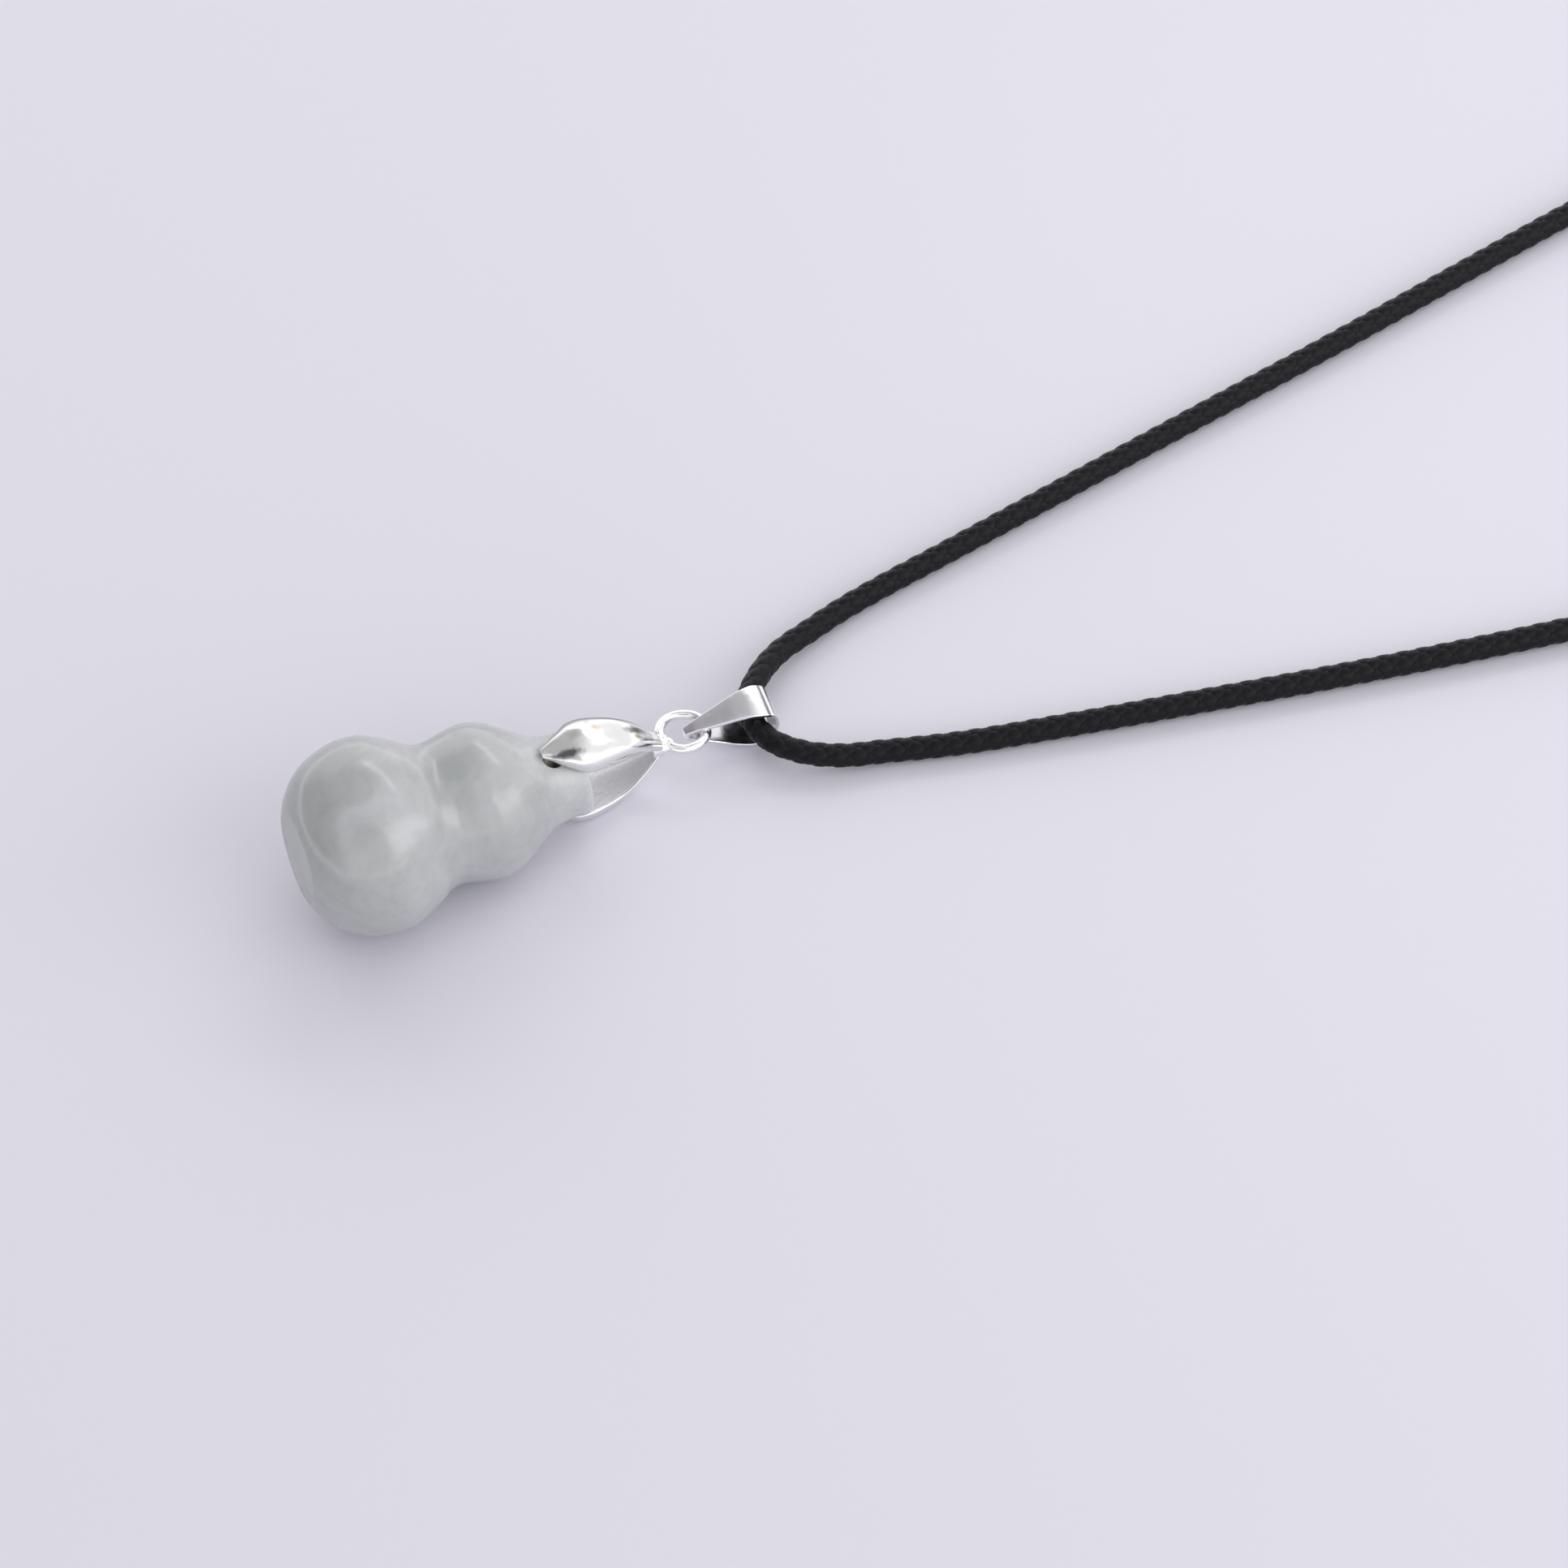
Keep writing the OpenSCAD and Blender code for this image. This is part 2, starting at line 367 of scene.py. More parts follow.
def jade_material():
    """Polished, translucent jade."""
    n = new_material("jade")
    place = n.place()
    body = n.ramp(n.noise(place, scale=0.16, detail=4.0, roughness=0.6, distortion=0.6), JADE_BODY)
    patches = n.ramp(n.noise(place, scale=0.34, detail=5.0, roughness=0.55, distortion=1.2), JADE_PATCHES)
    # Painted shade over the waist's crease and painted light in the stem, laid over the jade's own patches
    colour = n.stains_and_painted_light(n.mix(patches, body, JADE_PATCH), place, JADE_PAINTED_SHADE_AND_LIGHT)
    colour = n.mix(1.0, colour, n.ramp(n.noise(place, scale=1.6), JADE_GRAIN), "MULTIPLY")
    n.set(Base_Color=colour, Roughness=0.2, IOR=1.66)
    n.set(Subsurface_Weight=0.75, Subsurface_Radius=(0.9, 1.0, 1.0), Subsurface_Scale=0.0022)
    n.bump(n.noise(place, scale=0.5, detail=2.0), distance_mm=0.05, strength=0.25)
    return n.owner


def drilled_material():
    """The unpolished wall of the hole, paler than the jade: partly its own ground tone and partly painted
    light that lifts the hole's shade.
    """
    n = new_material("jade_drilled")
    n.set(Base_Color=DRILLED_TONE_AND_PAINTED_LIGHT, Roughness=0.8)
    return n.owner


SILVER_BRIGHT = (0.88, 0.875, 0.875, 1)
SILVER_TARNISH = (0.62, 0.585, 0.54, 1)
SILVER_TARNISHED = [(0.52, 0.0), (0.75, 0.3)]
SILVER_ROUGHNESS = [(0.3, 0.1), (0.7, 0.24)]


def silver_material():
    """Polished silver with light tarnish: the ring, its solder, the pegs and the lower leaf's outside."""
    n = new_material("silver")
    place = n.place()
    tarnish = n.ramp(n.noise(place, scale=0.7, detail=4.0, distortion=0.8), SILVER_TARNISHED)
    colour = n.mix(tarnish, SILVER_BRIGHT, SILVER_TARNISH)
    rough = n.ramp(n.noise(place, scale=2.5), SILVER_ROUGHNESS)
    n.set(Base_Color=colour, Roughness=rough, Metallic=1.0)
    n.bump(n.noise(place, scale=1.4), distance_mm=0.04, strength=0.3)
    return n.owner


# Folded strip: how many millimetres from its tips its painted light and shade cover, and where its upper leg
# turns
STRIP_SPAN = 10.0
STRIP_CREST = 6.75 / STRIP_SPAN
STRIP_WANDER = 0.12
# Painted light and shade along the strip: a painted highlight at the crest and painted shade in the fold
STRIP_PAINTED_LIGHT_AND_SHADE = [
    # share of the span, colour
    (0.1, (0.80, 0.78, 0.83)),
    (0.42, (0.83, 0.82, 0.86)),
    (0.56, (0.93, 0.93, 0.94)),
    (STRIP_CREST - 0.018, (0.93, 0.93, 0.94)),
    (STRIP_CREST, (0.12, 0.12, 0.13)),
    (STRIP_CREST + 0.02, (0.8, 0.8, 0.82)),
]
STRIP_ROUGHNESS = [(0.3, 0.14), (0.7, 0.28)]


def strip_material():
    """The folded strip, with painted light and shade: darker towards its tips, a painted highlight at the
    crest and a line of painted shade where it turns.
    """
    n = new_material("silver_strip")
    place = n.marked("strip")
    wander = n.math("MULTIPLY", n.noise(place, scale=1.5), STRIP_WANDER)
    along = n.math("DIVIDE", n.math("ADD", n.part(place, "X"), wander), STRIP_SPAN)
    rough = n.ramp(n.noise(place, scale=2.0), STRIP_ROUGHNESS)
    n.set(Base_Color=n.ramp(along, STRIP_PAINTED_LIGHT_AND_SHADE), Roughness=rough, Metallic=1.0)
    n.bump(n.noise(place, scale=1.4), distance_mm=0.03, strength=0.3)
    return n.owner


# Tarnish and painted reflections on the upper leaf, in millimetres along the pendant and across the leaf,
# towards its near edge
LEAF_BRIGHT = (0.84, 0.835, 0.83, 1)
LEAF_TARNISH_AND_REFLECTIONS = [
    # middle, size, turn in degrees, depth, colour
    # The two near-black spots are painted reflections; the brown spots are tarnish
    ((22.3, 0.9), (1.9, 0.55), 12, 0.97, (0.07, 0.07, 0.08)),
    ((25.2, -0.6), (0.8, 0.45), 0, 0.7, (0.56, 0.45, 0.31)),
    ((24.8, -1.4), (0.35, 0.3), 0, 0.6, (0.56, 0.47, 0.36)),
    ((23.6, -0.7), (1.2, 0.8), -30, 0.45, (0.5, 0.49, 0.49)),
    ((28.6, -0.2), (1.3, 0.6), 0, 0.95, (0.13, 0.125, 0.12)),
    ((28.6, 0.45), (0.6, 0.3), 0, 0.9, (0.40, 0.30, 0.16)),
]
LEAF_ROUGHNESS = [(0.3, 0.12), (0.7, 0.26)]
# Painted reflection: a dark line along its far edge, by the share of its width
PAINTED_RIM_REFLECTION = (0.16, 0.16, 0.17, 1)
LEAF_RIM_REFLECTION_SPAN = [(0.12, 0.85), (0.19, 0.0)]


def leaf_material():
    """The polished outside of the upper leaf: tarnished spots, dark spots of painted reflection and a
    painted reflection as a dark line along the far edge.
    """
    n = new_material("silver_leaf")
    place = n.marked("leaf")
    colour = n.stains_and_painted_light(LEAF_BRIGHT, place, LEAF_TARNISH_AND_REFLECTIONS)
    # Painted reflection: a dark line along the far edge
    colour = n.mix(n.ramp(n.part(place, "Z"), LEAF_RIM_REFLECTION_SPAN), colour, PAINTED_RIM_REFLECTION)
    rough = n.ramp(n.noise(place, scale=1.6), LEAF_ROUGHNESS)
    n.set(Base_Color=colour, Roughness=rough, Metallic=1.0)
    n.bump(n.noise(place, scale=1.1), distance_mm=0.05, strength=0.35)
    return n.owner


# How much finer the scratches are across the pendant than along it, and their colours
SCRATCH_SCALE = (0.25, 14, 14)
SCRATCH_COLOURS = [(0.3, (0.72, 0.71, 0.73)), (0.7, (0.96, 0.95, 0.97))]


def brushed_material():
    """The unpolished inside of the leaves, with scratches along the pendant."""
    n = new_material("silver_brushed")
    scratches = n.noise(n.place(SCRATCH_SCALE), scale=1.0, roughness=0.7)
    n.set(Base_Color=n.ramp(scratches, SCRATCH_COLOURS), Metallic=0.65, Roughness=0.45)
    n.bump(scratches, distance_mm=0.03, strength=0.8)
    return n.owner


# The fibres' noise along a strand, across it and from strand to strand, and their colours
FIBRE_SCALE = (0.9, 11, 5)
FIBRE_COLOURS = [(0.3, (0.0022, 0.002, 0.0028)), (0.75, (0.009, 0.0085, 0.0115))]


def cord_material():
    """Black strands of fine fibres with a slight gloss."""
    n = new_material("cord")
    streaks = n.noise(n.scaled(n.marked("fibre"), FIBRE_SCALE), scale=1.0, detail=4.0, roughness=0.65)
    n.set(Base_Color=n.ramp(streaks, FIBRE_COLOURS), Roughness=0.36, Specular_IOR_Level=0.17)
    n.bump(streaks, distance_mm=0.05, strength=0.7)
    return n.owner


STEEL_COLOUR = (0.66, 0.66, 0.67, 1)
STEEL_ROUGHNESS = [(0.3, 0.22), (0.7, 0.36)]


def steel_material():
    """The clasp's satin steel."""
    n = new_material("steel")
    grain = n.noise(n.place(), scale=9.0)
    n.set(Base_Color=STEEL_COLOUR, Metallic=1.0, Roughness=n.ramp(grain, STEEL_ROUGHNESS))
    n.bump(grain, distance_mm=0.01, strength=0.4)
    return n.owner


JADE = jade_material()
JADE_DRILLED = drilled_material()
SILVER = silver_material()
LEAF_SILVER = leaf_material()
STRIP_SILVER = strip_material()
BRUSHED = brushed_material()
CORD = cord_material()
STEEL = steel_material()

# Neck cord: the route of its middle, from one mouth of the clasp through the bail to the other
CORD_D = 0.002
ROUTE = [
    (0.1694, -0.003, 0.002), (0.1694, -0.001, 0.002), (0.1707, 0.0029, 0.00165), (0.1742, 0.0053, 0.0012),
    (0.1794, 0.0073, 0.001), (0.1816, 0.0108, 0.001), (0.1811, 0.0145, 0.001), (0.1788, 0.017, 0.001),
    (0.1753, 0.018, 0.001), (0.163, 0.0182, 0.001), (0.15, 0.0178, 0.001), (0.135, 0.0174, 0.001),
    (0.119, 0.017, 0.001), (0.1022, 0.0158, 0.001), (0.0916, 0.0146, 0.001), (0.0786, 0.0131, 0.001),
    (0.0654, 0.0118, 0.001), (0.0525, 0.0105, 0.001), (0.0398, 0.0092, 0.001), (0.0335, 0.0086, 0.001),
    (0.0302, 0.0081, 0.00105), (0.0271, 0.0073, 0.0012), (0.0236, 0.0061, 0.00155),
    (0.021, 0.0041, 0.00205), (0.0192, 0.0018, 0.0024), (0.0186, -0.0006, 0.00245),
    (0.0191, -0.0029, 0.00225), (0.0209, -0.0051, 0.0018), (0.0236, -0.0068, 0.00135),
    (0.0267, -0.008, 0.0011), (0.0313, -0.01, 0.001), (0.0409, -0.0135, 0.001), (0.0509, -0.0169, 0.001),
    (0.0608, -0.0202, 0.001), (0.0709, -0.0234, 0.001), (0.0819, -0.0266, 0.001),
    (0.0952, -0.0299, 0.001), (0.1117, -0.0328, 0.001), (0.128, -0.0347, 0.001), (0.144, -0.0358, 0.001),
    (0.16, -0.0362, 0.001), (0.1753, -0.036, 0.001), (0.1788, -0.035, 0.001), (0.1811, -0.0325, 0.001),
    (0.1816, -0.0288, 0.001), (0.1794, -0.0253, 0.001), (0.1742, -0.0233, 0.0012),
    (0.1707, -0.0209, 0.00165), (0.1694, -0.017, 0.002), (0.1694, -0.015, 0.002),
]
# Round braid of eight flat strands, four each way round, each over one and under one
BRAID_LAY = 0.0063
STRANDS_EACH_WAY = 4
CROSSING = BRAID_LAY / (2 * STRANDS_EACH_WAY)
STRAND_W = 0.00128
STRAND_T = 0.00044
OVER_R = CORD_D / 2 - STRAND_T / 2
UNDER_R = 0.00064
# The power of the wave between over and under: the lower it is, the longer a strand stays on top
CROWN_SQUARE = 0.38
# Strand section: across as a share of half the width, and out as a share of half the thickness
STRAND_SECTION = [
    (-1, -0.1), (-0.86, 0.62), (-0.42, 0.94), (0.0, 1.0), (0.42, 0.94), (0.86, 0.62), (1, -0.1), (0, -0.9),
]
CORE_R = 0.0006
CORE_SIDES = 8
# How finely the cord is made
ROUTE_STEPS = 24
RINGS_PER_CROSSING = 3
CORE_EVERY = 2


def strand_rings(route, way, k):
    """Rings of points of one strand, which winds round the cord one way or the other."""
    path, along, tangent, side, up = route
    angle = 2 * math.pi * (k / STRANDS_EACH_WAY + way * along / BRAID_LAY)
    wave = way * np.cos(math.pi * along / CROSSING)
    wave = np.sign(wave) * np.abs(wave) ** CROWN_SQUARE
    radius = (OVER_R + UNDER_R) / 2 + (OVER_R - UNDER_R) / 2 * wave
    out = side * np.cos(angle)[:, None] + up * np.sin(angle)[:, None]
    middle = path + out * radius[:, None]
    run = np.gradient(middle, axis=0)
    across = np.cross(out, unit(run - out * (run * out).sum(1)[:, None]))
    # How much the flat strand bends round the cord, with the square of the way across
    bend = (1 - (across * tangent).sum(1) ** 2) / CORD_D
    ring = []
    for a, b in STRAND_SECTION:
        shift = a * STRAND_W / 2
        rise = b * STRAND_T / 2 - bend * shift**2
        ring.append(middle + across * shift + out * rise[:, None])
    return np.stack(ring, axis=1)


def core_rings(route):
    """Rings of points of the plain round core under the strands."""
    path, _, _, side, up = (line[::CORE_EVERY, None] for line in route)
    turn = angles(CORE_SIDES)[None, :, None]
    return path + CORE_R * (side * np.cos(turn) + up * np.sin(turn))


def make_cord():
    path, along = evenly(curve(ROUTE, ROUTE_STEPS), CROSSING / RINGS_PER_CROSSING)
    tangent = unit(np.gradient(path, axis=0))
    side = unit(np.cross(tangent, (0, 0, 1)))
    route = (path, along, tangent, side, np.cross(side, tangent))
    points, faces, fibre = [], [], []
    for way in (1, -1):
        for k in range(STRANDS_EACH_WAY):
            faces += rings_to_faces(len(path), len(STRAND_SECTION), offset=sum(len(p) for p in points))
            points.append(strand_rings(route, way, k).reshape(-1, 3))
            # Along the cord in millimetres, across the strand, and a number of the strand's own
            u = np.repeat(along / MM, len(STRAND_SECTION))
            v = np.tile([a for a, b in STRAND_SECTION], len(path))
            fibre.append(np.stack([u, v, np.full(len(u), k * 2.0 + way)], axis=1))
    core = core_rings(route)
    faces += rings_to_faces(len(core), CORE_SIDES, offset=sum(len(p) for p in points))
    points.append(core.reshape(-1, 3))
    fibre.append(np.zeros((len(core) * CORE_SIDES, 3)))
    cord = add_mesh("neck_cord_braid", np.vstack(points), faces, CORD)
    mark(cord, "fibre", np.vstack(fibre))
    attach(cord, root)
    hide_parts("neck_cord")


# Clasp: a plain barrel that lies across the loop's far end, with a seam round its middle
CLASP_L = 0.012
CLASP_R = 0.002
CLASP_EDGE = 0.0005
CLASP_SIDES = 64
SEAM = 0.0001
# Where the straight side has its first ring of points after the rounded edge
CLASP_SIDE_AT = 0.0015
# Points of a rounded edge, from one end of the quarter circle to the other
EDGE_POINTS = 7


def make_clasp():
    low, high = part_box("clasp")
    edge = [(CLASP_EDGE * (1 - math.sin(a)), CLASP_R - CLASP_EDGE * (1 - math.cos(a)))
            for a in np.linspace(math.pi / 2, 0, EDGE_POINTS)]
    middle = CLASP_L / 2
    seam = [(middle - SEAM, CLASP_R), (middle - SEAM / 2, CLASP_R - SEAM), (middle, CLASP_R - SEAM)]
    half = [(0, 0), (0, CORD_D / 2)] + edge + [(CLASP_SIDE_AT, CLASP_R)] + seam
    profile = half + [(CLASP_L - x, r) for x, r in half[-2::-1]]
    matrix = (Matrix.Translation(((low.x + high.x) / 2, low.y, CLASP_R))
              @ Matrix.Rotation(-math.pi / 2, 4, "X"))
    barrel = lathe("clasp_barrel", profile, CLASP_SIDES, matrix, STEEL, smooth_below=35)
    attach(barrel, root)
    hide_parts("clasp")
    return barrel


clasp = make_clasp()
make_cord()

# Gourd, in millimetres from its base: places along the axis and radii
BASE_R = 3.9
LOBE_R = 8.05
TOP_LOBE_R = 6.4
LOBE_AT = 6.1
TOP_LOBE_AT = 15.8
GOURD_L = 23.8
WAIST_R = 5.85
STEM_R = 3.45
STEM_END_R = 3.5
STEM_EDGE = 0.25
GOURD_ROWS = [
    (0, BASE_R), (0.3, 4.6), (0.8, 5.38), (1.5, 6.2), (2.4, 6.92), (3.4, 7.45), (4.6, 7.84),
    (LOBE_AT, LOBE_R), (7.3, 7.92), (8.6, 7.42), (10, 6.67), (11, 6.05), (11.8, WAIST_R), (12.7, 5.94),
    (14, 6.23), (TOP_LOBE_AT, TOP_LOBE_R), (17, 6.08), (18.2, 5.4), (19.4, 4.59), (20.4, 3.98),
    (21.4, 3.62), (22.4, STEM_R + 0.02), (GOURD_L - STEM_EDGE, STEM_END_R),
]
GOURD_STEPS = 8
GOURD_SIDES = 192
BASE_RINGS = 8
END_RINGS = 6
# It lies on both lobes, so its axis dips towards the stem
DIP = math.asin((LOBE_R - TOP_LOBE_R) / (TOP_LOBE_AT - LOBE_AT))
BASE_X = -19.6
LEAF_ROLL = math.radians(13.6)
HOLE_AT = 21.15
HOLE_R = 0.8
SINK_R = 1.05
SINK_FROM = 3.4
SINK_TO = 4.3
# Drilled hole with a countersink at each end: places along the hole and radii
DRILL_ROWS = [
    (-SINK_TO, 0), (-SINK_TO, SINK_R), (-SINK_FROM, HOLE_R),
    (SINK_FROM, HOLE_R), (SINK_TO, SINK_R), (SINK_TO, 0),
]
DRILL_SIDES = 48
# The hole lies a little further along and round than the pegs, like the notch in the photograph
DRILL_SHIFT = 0.2
DRILL_TURN = math.radians(5)


def gourd_profile():
    flat = [(0, r) for r in np.linspace(0, BASE_R, BASE_RINGS, endpoint=False)]
    stem = [(GOURD_L - STEM_EDGE * (1 - math.sin(a)), STEM_END_R - STEM_EDGE * (1 - math.cos(a)))
            for a in np.linspace(0, math.pi / 2, EDGE_POINTS)[1:]]
    end = [(GOURD_L, r) for r in np.linspace(STEM_END_R - STEM_EDGE, 0, END_RINGS)[1:]]
    return np.array(flat + list(curve(GOURD_ROWS, GOURD_STEPS)) + stem + end) * MM


PROFILE = gourd_profile()
AXIS_Z = float((PROFILE[:, 0] * math.sin(DIP) + PROFILE[:, 1] * math.cos(DIP)).max())
# From the gourd's base: +Z along the pendant's axis, +X up, and a positive turn about +Z leans towards -Y
ON_AXIS = (Matrix.Translation((BASE_X * MM, 0, AXIS_Z)) @ Matrix.Rotation(math.pi / 2 + DIP, 4, "Y")
           @ Matrix.Rotation(math.pi, 4, "Z"))


def crosswise(matrix, at):
    """Turns the matrix so that its +Z lies along its old +X, from so many millimetres along its old +Z."""
    return matrix @ Matrix.Translation((0, 0, at * MM)) @ Matrix.Rotation(math.pi / 2, 4, "Y")


def make_gourd():
    gourd = lathe("jade_gourd_polished", PROFILE, GOURD_SIDES, ON_AXIS, JADE)
    turned = ON_AXIS @ Matrix.Rotation(LEAF_ROLL + DRILL_TURN, 4, "Z")
    place = crosswise(turned, HOLE_AT + DRILL_SHIFT)
    cutter = lathe("drill", np.array(DRILL_ROWS) * MM, DRILL_SIDES, place, JADE_DRILLED, smooth_below=30)
    cut(gourd, cutter)
    finish_mesh(gourd.data, smooth_below=30)
    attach(gourd, root)
    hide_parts("jade_gourd")


make_gourd()

# Pinch bail, in millimetres: the upper leaf from its tip to the neck. The lower one is the same leaf, half
# a turn round the axis
LEAF_T = 0.3
LEAF_ROWS = [
    # along, half width, height of the edge, height of the crown
    (20.4, 0.4, 4.15, 4.5), (20.9, 0.72, 4, 4.55), (21.6, 1.2, 3.8, 4.65), (22.5, 1.75, 3.5, 4.8),
    (23.2, 2.2, 3.3, 4.88), (24.2, 2.35, 3.15, 4.88), (25.5, 2.15, 3.15, 4.65), (27, 1.8, 3, 4.15),
    (28.4, 1.45, 2.3, 3.35), (29.6, 1.1, 1.25, 2.3), (30.4, 0.8, 0.5, 1.45), (30.9, 0.65, 0.1, 0.9),
]
LEAF_STEPS = 5
CROWN_POWER = 0.7
ARC_POINTS = 25
LIP_POINTS = 4
PEG_R = 0.45
PEG_IN = 1.2
PEG_OUT = 4.3
PEG_SIDES = 32


def leaf_section(row):
    """One section of a leaf, as rise and side of each point: its outside, a round lip, its inside and the
    other lip."""
    along, width, edge, crown = row
    lip = LEAF_T / 2
    a = np.linspace(0, math.pi, ARC_POINTS)

    def arc(half, top):
        rise = edge + lip + (top - edge - lip) * np.sin(a).clip(0) ** CROWN_POWER
        return np.stack([rise, half * np.sign(np.cos(a)) * np.abs(np.cos(a)) ** CROWN_POWER], axis=1)

    outer = arc(width, crown)
    inner = arc(width - LEAF_T, crown - LEAF_T)[::-1]
    b = np.linspace(0, math.pi, LIP_POINTS + 2)[1:-1]
    left = np.stack([edge + lip - lip * np.sin(b), -width + lip - lip * np.cos(b)], axis=1)
    right = np.stack([edge + lip - lip * np.sin(b), width - lip - lip * np.cos(b)], axis=1)
    return np.vstack([outer, left, inner, right])


def make_leaf(name, matrix, outside):
    """One leaf, with its outside in the given material and its inside brushed."""
    rings = []
    places = []
    for row in curve(LEAF_ROWS, LEAF_STEPS):
        section = leaf_section(row)
        along = np.full(len(section), row[0])
        share = 0.5 + section[:, 1] / (2 * row[1])
        rings.append(np.column_stack([section, along]))
        places.append(np.column_stack([along, section[:, 1], share]))
    count = len(rings[0])
    faces = rings_to_faces(len(rings), count)
    leaf = add_mesh(name, np.vstack(rings) * MM, faces, outside, smooth_below=50)
    mark(leaf, "leaf", np.vstack(places))
    leaf.data.materials.append(BRUSHED)
    inside = range(ARC_POINTS + LIP_POINTS, 2 * ARC_POINTS + LIP_POINTS - 1)
    for face in leaf.data.polygons:
        if len(face.vertices) == 4 and min(v % count for v in face.vertices) in inside:
            face.material_index = 1
    leaf.data.transform(matrix)
    return leaf


def cylinder(name, radius, low, high, matrix):
    """A plain silver cylinder along +Z, in millimetres."""
    profile = [(low, 0), (low, radius), (high, radius), (high, 0)]
    return lathe(name, np.array(profile) * MM, PEG_SIDES, matrix, SILVER, smooth_below=40)


# Ring, in millimetres: its outer diameter, its wire, and its middle along the pendant, to the side and up
RING_D = 4.6
RING_WIRE = 0.84
RING_PLACE = (33.1, 0.57, 0.16)
RING_ROLL = math.radians(5)
RING_POINTS = 128
WIRE_SIDES = 20
# The ring and its wire are a little uneven: waves in a turn, where they start in radians, share of the size
RING_WAVES = [(2, 0.6, 0.015), (5, 0, 0.008)]
WIRE_WAVES = [(2, 0, 0.06), (3, 1, 0.04), (7, 0, 0.02)]
# Neck between the leaves and the ring, and the solder on it
NECK_R = 0.85
NECK_FROM = 30
NECK_TO = 31
SOLDER_R = 0.6
SOLDER_TO = 31.7
SOLDER_LUMPS = [
    # middle as up, side and along, radius
    ((0.1, 0.4, 31), 0.5),
    ((0.35, -0.2, 31.2), 0.48),
    ((-0.3, 0.1, 31.3), 0.48),
    ((0.2, 0.2, 31.6), 0.46),
]
LUMP_ROUNDNESS = 3
# How the ring, neck and solder run together: the grid that they are made again on, in metres, and how that
# is smoothed
MELT_GRID = 0.00006
MELT_SMOOTH = 0.5
MELT_PASSES = 6


def uneven(turn, waves):
    return 1 + sum(share * np.cos(times * turn + start) for times, start, share in waves)


def make_ring():
    """The soldered ring, which is a little uneven."""
    a = angles(RING_POINTS)
    b = angles(WIRE_SIDES)
    big = (RING_D - RING_WIRE) / 2 * uneven(a, RING_WAVES)
    wire = RING_WIRE / 2 * uneven(a, WIRE_WAVES)
    reach = big[:, None] + wire[:, None] * np.cos(b)[None, :]
    points = np.stack([reach * np.cos(a)[:, None], reach * np.sin(a)[:, None],
                       wire[:, None] * np.sin(b)[None, :]], axis=2).reshape(-1, 3)
    faces = []
    for i in range(RING_POINTS):
        for j in range(WIRE_SIDES):
            here, beyond = i * WIRE_SIDES, (i + 1) % RING_POINTS * WIRE_SIDES
            m = (j + 1) % WIRE_SIDES
            faces.append([here + j, beyond + j, beyond + m, here + m])
    ring = add_mesh("ring", points * MM, faces, SILVER)
    along, to_side, rise = RING_PLACE
    ring.data.transform(ON_AXIS @ Matrix.Translation(Vector((rise, -to_side, along)) * MM)
                        @ Matrix.Rotation(RING_ROLL, 4, "Z") @ Matrix.Rotation(math.pi / 2, 4, "Y"))
    return ring


def make_lump(place, radius, matrix):
    """A small rounded lump of solder."""
    bm = bmesh.new()
    bmesh.ops.create_icosphere(bm, subdivisions=LUMP_ROUNDNESS, radius=radius * MM)
    mesh = bpy.data.meshes.new("lump")
    bm.to_mesh(mesh)
    bm.free()
    lump = bpy.data.objects.new("lump", mesh)
    scene.collection.objects.link(lump)
    mesh.materials.append(SILVER)
    mesh.transform(matrix @ Matrix.Translation(Vector(place) * MM))
    return lump


def make_joint(turned):
    """The ring, the neck and the solder between them, run together as one piece."""
    neck = cylinder("neck", NECK_R, NECK_FROM, NECK_TO, turned)
    solder = cylinder("solder", SOLDER_R, NECK_FROM, SOLDER_TO, turned)
    lumps = [make_lump(place, radius, turned) for place, radius in SOLDER_LUMPS]
    joint = join([make_ring(), neck, solder, *lumps], "bail_ring")
    remesh = joint.modifiers.new("remesh", "REMESH")
    remesh.mode = "VOXEL"
    remesh.voxel_size = MELT_GRID
    smooth = joint.modifiers.new("smooth", "SMOOTH")
    smooth.factor = MELT_SMOOTH
    smooth.iterations = MELT_PASSES
    apply_modifiers(joint)
    finish_mesh(joint.data, smooth_below=180)
    joint.data.materials.clear()
    joint.data.materials.append(SILVER)
    return joint


def make_pinch_bail():
    pieces = [make_joint(ON_AXIS @ Matrix.Rotation(LEAF_ROLL, 4, "Z"))]
    for name, turn, outside in (("leaf_upper", 0, LEAF_SILVER), ("leaf_lower", math.pi, SILVER)):
        turned = ON_AXIS @ Matrix.Rotation(LEAF_ROLL + turn, 4, "Z")
        peg = cylinder("peg", PEG_R, PEG_IN, PEG_OUT, crosswise(turned, HOLE_AT))
        pieces.append(join([make_leaf(name, turned, outside), peg], name))
    for piece in pieces:
        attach(piece, root)
        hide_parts("pinch_bail")


make_pinch_bail()

# Cord bail, in millimetres: distance from the tips, and half height of the strip's middle
STRIP_T = 0.35
STRIP_W = 3.1
STRIP_TIP_W = 0.8
STRIP_FULL = 6
STRIP_BELLY = 1.25
STRIP_ROWS = [
    (0, 0.2), (0.8, 0.56), (1.7, 0.84), (3, 1.25), (4.3, 1.66),
    (5.3, 1.82), (6.3, 1.68), (7.13, 1.12), (7.45, 0),
]
STRIP_STEPS = 12
STRIP_PLACE = (13.14, 0.36, 3.5)
STRIP_TURN = math.radians(-4)
STRIP_ROLL = math.radians(11.5)
STRIP_DIP = math.radians(7.9)
# The rounding of the strip's corners, as a radius and as the points of one corner
STRIP_ROUND = 0.1
CORNER_POINTS = 4


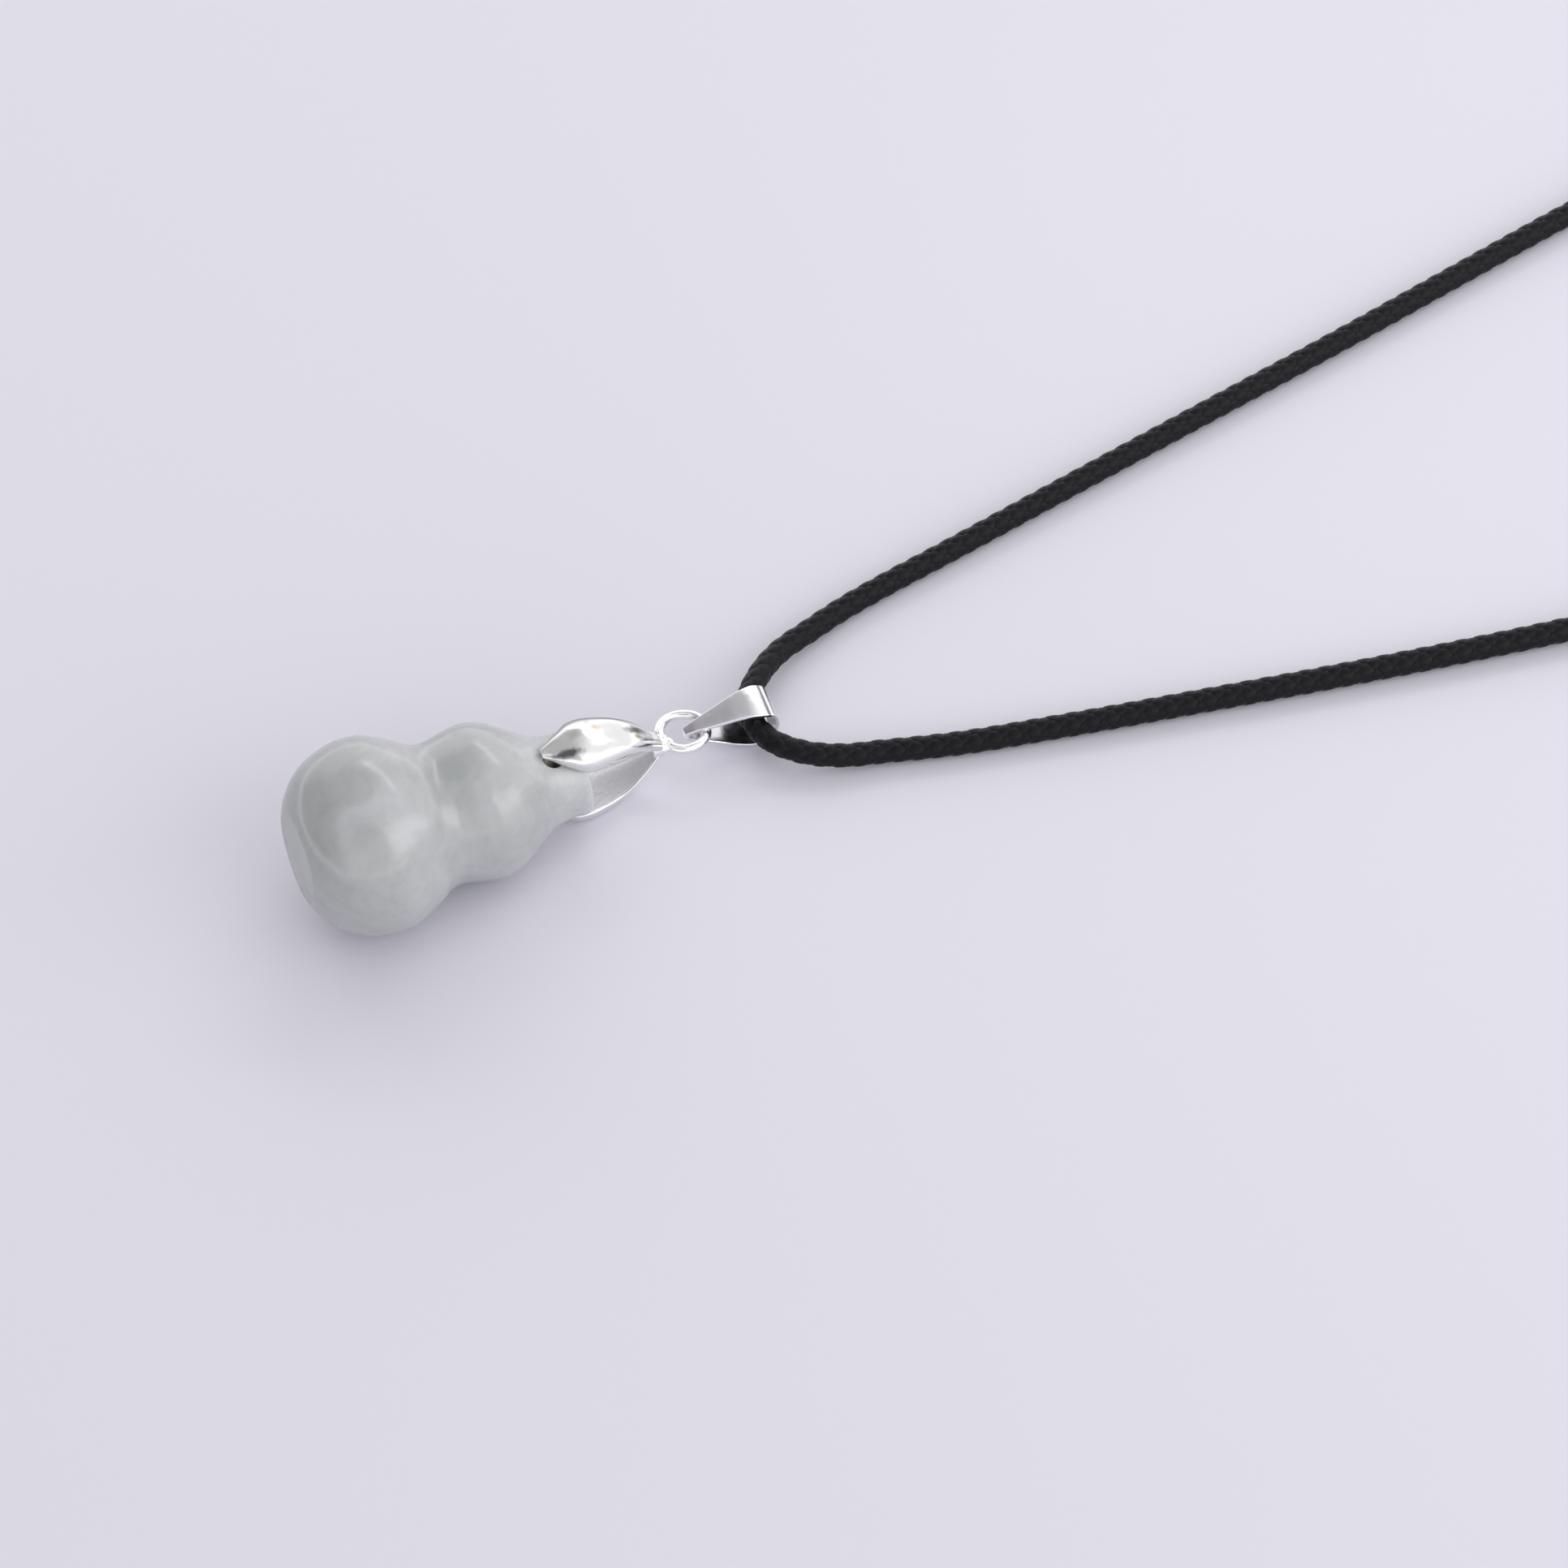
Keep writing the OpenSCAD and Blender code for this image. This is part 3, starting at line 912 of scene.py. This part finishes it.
def strip_section():
    """Points of the strip's rounded section: the corner that each belongs to, and its place about it."""
    corner = np.linspace(0, math.pi / 2, CORNER_POINTS)
    section = []
    for sx, sy, start in ((1, 1, 0), (-1, 1, 1), (-1, -1, 2), (1, -1, 3)):
        for a in corner + start * math.pi / 2:
            section.append((sx, sy, STRIP_ROUND * math.cos(a), STRIP_ROUND * math.sin(a)))
    return section


def make_cord_bail():
    upper = curve(STRIP_ROWS, STRIP_STEPS)
    path = np.vstack([upper, upper[-2::-1] * (1, -STRIP_BELLY)])
    step = np.gradient(path, axis=0)
    out = unit(np.stack([-step[:, 1], step[:, 0]], axis=1))
    wide = STRIP_TIP_W + (STRIP_W - STRIP_TIP_W) * np.minimum(1, path[:, 0] / STRIP_FULL)
    section = strip_section()
    rings = []
    for p, o, w in zip(path, out, wide):
        for sx, sy, cx, cy in section:
            side = sx * (w / 2 - STRIP_ROUND) + cx
            rise = sy * (STRIP_T / 2 - STRIP_ROUND) + cy
            rings.append((p[0] + o[0] * rise, side, p[1] + o[1] * rise))
    points = np.array(rings)
    faces = rings_to_faces(len(path), len(section))
    strip = add_mesh("cord_bail_strip", points * MM, faces, STRIP_SILVER, smooth_below=60)
    mark(strip, "strip", points)
    strip.data.transform(Matrix.Translation(Vector(STRIP_PLACE) * MM) @ Matrix.Rotation(STRIP_TURN, 4, "Z")
                         @ Matrix.Rotation(STRIP_DIP, 4, "Y") @ Matrix.Rotation(STRIP_ROLL, 4, "X"))
    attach(strip, root)
    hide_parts("cord_bail")


make_cord_bail()


# Floor, lights and surroundings
FLOOR_SIZE = 4
FLOOR_COLOUR = (0.745, 0.735, 0.81, 1)


def make_floor():
    n = new_material("floor")
    n.set(Base_Color=FLOOR_COLOUR, Roughness=0.35)
    half = FLOOR_SIZE / 2
    floor = add_mesh("floor", [(-half, -half, 0), (half, -half, 0), (half, half, 0), (-half, half, 0)],
                     [(0, 1, 2, 3)], n.owner)


# Flat softboxes. A middle is given from under the pendant, in metres: to the photographer's right, away and
# up. The face looks at the aim, which is given in the same way
SOFTBOXES = [
    # name, middle, aim, size, radiance
    ("right_box", (0.72, -0.249, 0.274), (0.527, 0.732, 0.274), (1.17, 0.352), 1.65),
    ("back_box", (0.273, 0.325, 0.424), (0, 0, 0), (0.5, 0.08), 2.4),
]


def make_light(name, middle, aim, size, radiance):
    data = bpy.data.lights.new(name, "AREA")
    data.shape = "RECTANGLE"
    data.size, data.size_y = size
    data.energy = radiance * math.pi * size[0] * size[1]
    light = bpy.data.objects.new(name, data)
    turn = Matrix.Rotation(-VIEW_HEADING, 3, "Z")
    light.location = turn @ Vector(middle)
    light.rotation_mode = "QUATERNION"
    light.rotation_quaternion = (turn @ (Vector(middle) - Vector(aim))).to_track_quat("Z", "Y")
    scene.collection.objects.link(light)


# Sides of the light tent, each laid over the ones before it. The azimuth is clockwise from the
# photographer's line of sight, and both angles are in degrees. The cosines are of the angle from the side's
# middle
TENT_STRENGTH = 1.4
TENT_TINT = (1, 1, 1.015)
TENT_SIDES = [
    # azimuth, elevation, cosine where it starts, cosine where it is full, brightness
    (0, 90, 0.6, 0.8, 0.34),
    (90, 20, 0.45, 0.8, 0.71),
    (-90, 20, 0.45, 0.8, 0.2),
    (180, 45, 0.6, 0.85, 0.84),
    (190, 52, 0.9, 0.96, 0.4),
    (0, -90, -0.12, -0.04, 1.5),
]


def make_world():
    n = Nodes(bpy.data.worlds.new("tent"), "Background")
    scene.world = n.owner
    place = n.add("ShaderNodeTexCoord").outputs["Generated"]
    colour = (*TENT_TINT, 1)
    for azimuth, elevation, start, full, bright in TENT_SIDES:
        toward = n.add("ShaderNodeVectorMath", operation="DOT_PRODUCT")
        n.link(place, toward.inputs[0])
        middle = direction(VIEW_HEADING + math.radians(azimuth), math.radians(elevation))
        toward.inputs[1].default_value = middle
        mask = n.soft_step(toward.outputs["Value"], start, full)
        colour = n.mix(mask, colour, (*(bright * c for c in TENT_TINT), 1))
    n.set(Color=colour, Strength=TENT_STRENGTH)


make_floor()
make_world()
for box in SOFTBOXES:
    make_light(*box)
scene.view_settings.view_transform = "Standard"
